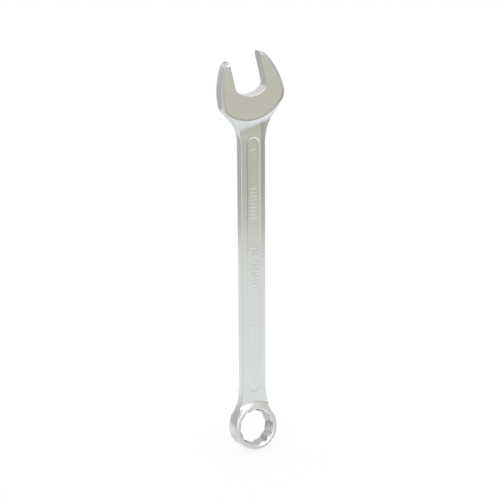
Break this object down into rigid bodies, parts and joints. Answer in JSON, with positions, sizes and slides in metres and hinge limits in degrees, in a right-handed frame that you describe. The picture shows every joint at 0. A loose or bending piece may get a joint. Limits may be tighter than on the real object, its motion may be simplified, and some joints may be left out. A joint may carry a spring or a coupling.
{
  "type": "combination wrench",
  "caption": "Flat-shank combination wrench with an angled open jaw at one end and a tilted twelve-point ring socket at the other.",
  "frame": {"origin": "centre of the twelve-point ring socket, on its axis and half way through the ring", "axes": "+Z along the shank to the open end, +X to the right across the width, front face towards -Y"},
  "size_m": [0.0356, 0.0156, 0.2177],
  "materials": {
    "plated_steel": "satin chrome plate over forged steel, end faces ground flat"
  },
  "bodies": {
    "root": {"wrench_body": "plated_steel"}
  },
  "joints": []
}
